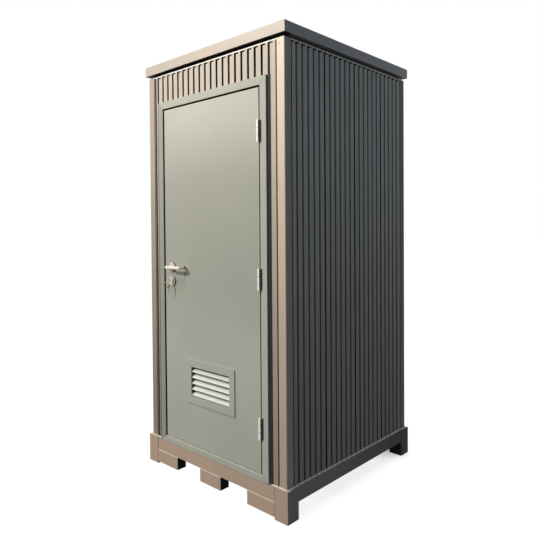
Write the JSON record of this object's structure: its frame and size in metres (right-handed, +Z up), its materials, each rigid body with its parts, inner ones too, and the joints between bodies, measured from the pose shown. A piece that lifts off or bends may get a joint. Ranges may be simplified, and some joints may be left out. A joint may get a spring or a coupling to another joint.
{
  "type": "portable restroom",
  "caption": "Free-standing portable restroom cabin with ribbed walls on a skid base, a framed door that opens outwards, a louvre low in the door and a sprung lever handle.",
  "frame": {"origin": "on the ground under the middle of the whole box, the lever's reach included; the middle of the base is 28 mm behind it", "axes": "+Z up, the door faces -Y, +X is to the right of a person who faces the door"},
  "size_m": [1.06, 1.188, 2.3],
  "materials": {
    "front_panel": "satin",
    "side_panel": "satin",
    "frame_steel": "satin",
    "trim_white": "satin",
    "base_steel": "satin",
    "door_paint": "satin",
    "slat_white": "satin",
    "floor_board": "matt",
    "ceiling_board": "matt",
    "hinge_steel": "satin",
    "lever_steel": "satin",
    "key_metal": "worn"
  },
  "bodies": {
    "cabin": {"corner_blocks": "base_steel", "front_rail": "base_steel", "back_rail": "base_steel", "left_rail": "base_steel", "right_rail": "base_steel", "front_skid_blocks": "base_steel", "back_skid_blocks": "base_steel", "floor_panel": "floor_board", "front_left_post": "frame_steel", "front_right_post": "frame_steel", "back_left_post": "frame_steel", "back_right_post": "frame_steel", "front_wall_left": "front_panel", "front_wall_right": "front_panel", "front_wall_head": "front_panel", "left_wall": "side_panel", "right_wall": "side_panel", "back_wall": "side_panel", "front_eaves_strip": "trim_white", "back_eaves_strip": "trim_white", "left_eaves_strip": "trim_white", "right_eaves_strip": "trim_white", "ceiling_panel": "ceiling_board", "roof_cap": "frame_steel", "frame_left_jamb": "door_paint", "frame_right_jamb": "door_paint", "frame_head": "door_paint", "frame_sill": "door_paint", "hinge_frame_leaves": "hinge_steel"},
    "door": {"hinge_door_leaves": "hinge_steel", "door_leaf": "door_paint", "vent_frame": "door_paint", "vent_slats": "slat_white", "outer_lever_rose": "lever_steel", "inner_lever_rose": "lever_steel", "outer_lock_rose": "lever_steel", "inner_lock_rose": "lever_steel", "lock_cylinder": "key_metal", "lock_key": "key_metal", "spare_key": "key_metal"},
    "lever": {"outer_lever": "lever_steel", "inner_lever": "lever_steel", "lever_spindle": "lever_steel"}
  },
  "joints": [
    {"name": "door_swing", "type": "hinge", "parent": "cabin", "child": "door", "pos_m": [0.368, -0.546, 1.118], "axis": [0, 0, 1], "range_deg": [0, 110]},
    {"name": "lever_turn", "type": "hinge", "parent": "door", "child": "lever", "pos_m": [-0.299, -0.534, 1.15], "axis": [0, 1, 0], "range_deg": [0, 45], "stiffness_Nm_per_rad": 1.6, "springref_deg": -34.38}
  ]
}
